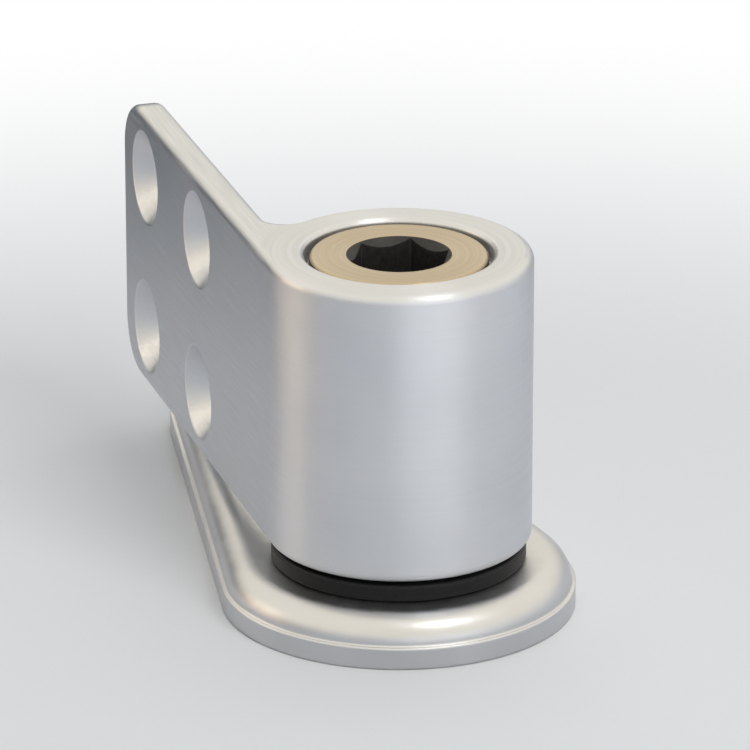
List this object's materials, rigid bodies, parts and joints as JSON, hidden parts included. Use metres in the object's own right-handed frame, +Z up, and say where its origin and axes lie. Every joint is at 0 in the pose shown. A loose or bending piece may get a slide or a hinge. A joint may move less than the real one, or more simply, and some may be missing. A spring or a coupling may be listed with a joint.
{
  "type": "pivot hinge",
  "caption": "Bottom pivot hinge for a flush door: a floor plate with an upright pin, and a barrel with a side leaf that turns on it and is lifted by a socket screw in its top.",
  "frame": {"origin": "on the pivot axis, at the underside of the floor plate, where it meets the floor", "axes": "+Z up along the pivot axis, +X along the closed door away from the leaf, +Y through the door from its face to its back"},
  "size_m": [0.032, 0.069, 0.0335],
  "materials": {
    "plate_steel": "satin",
    "pin_steel": "ground",
    "screw_steel": "zinc plated",
    "black_polymer": "turned",
    "ball_steel": "polished",
    "barrel_metal": "satin",
    "bush_bronze": "sintered, oil filled",
    "adjuster_steel": "turned, straw coloured",
    "blue_nylon": "plain"
  },
  "bodies": {
    "floor_side": {"floor_plate": "plate_steel", "pivot_pin": "pin_steel", "pin_screw": "screw_steel", "sliding_washer": "black_polymer", "steel_ball": "ball_steel"},
    "thrust": {"thrust_cup": "pin_steel"},
    "door_side": {"hinge_body": "barrel_metal", "lower_bush": "bush_bronze", "upper_bush": "bush_bronze"},
    "adjuster": {"adjusting_screw": "adjuster_steel", "locking_pellet": "blue_nylon"}
  },
  "joints": [
    {"name": "door_swing", "type": "hinge", "parent": "floor_side", "child": "thrust", "pos_m": [0, 0, 0.022], "axis": [0, 0, -1], "range_deg": [0, 180]},
    {"name": "height_adjust", "type": "slide", "parent": "thrust", "child": "door_side", "axis": [0, 0, 1], "range_m": [-0.0003, 0.003]},
    {"name": "adjuster_turn", "type": "hinge", "parent": "thrust", "child": "adjuster", "pos_m": [0, 0, 0.0262], "axis": [0, 0, 1], "range_deg": [-721, 73]}
  ],
  "couplings": [
    {"joint": "adjuster_turn", "follows": "height_adjust", "rad_per_m": -4188.8}
  ]
}
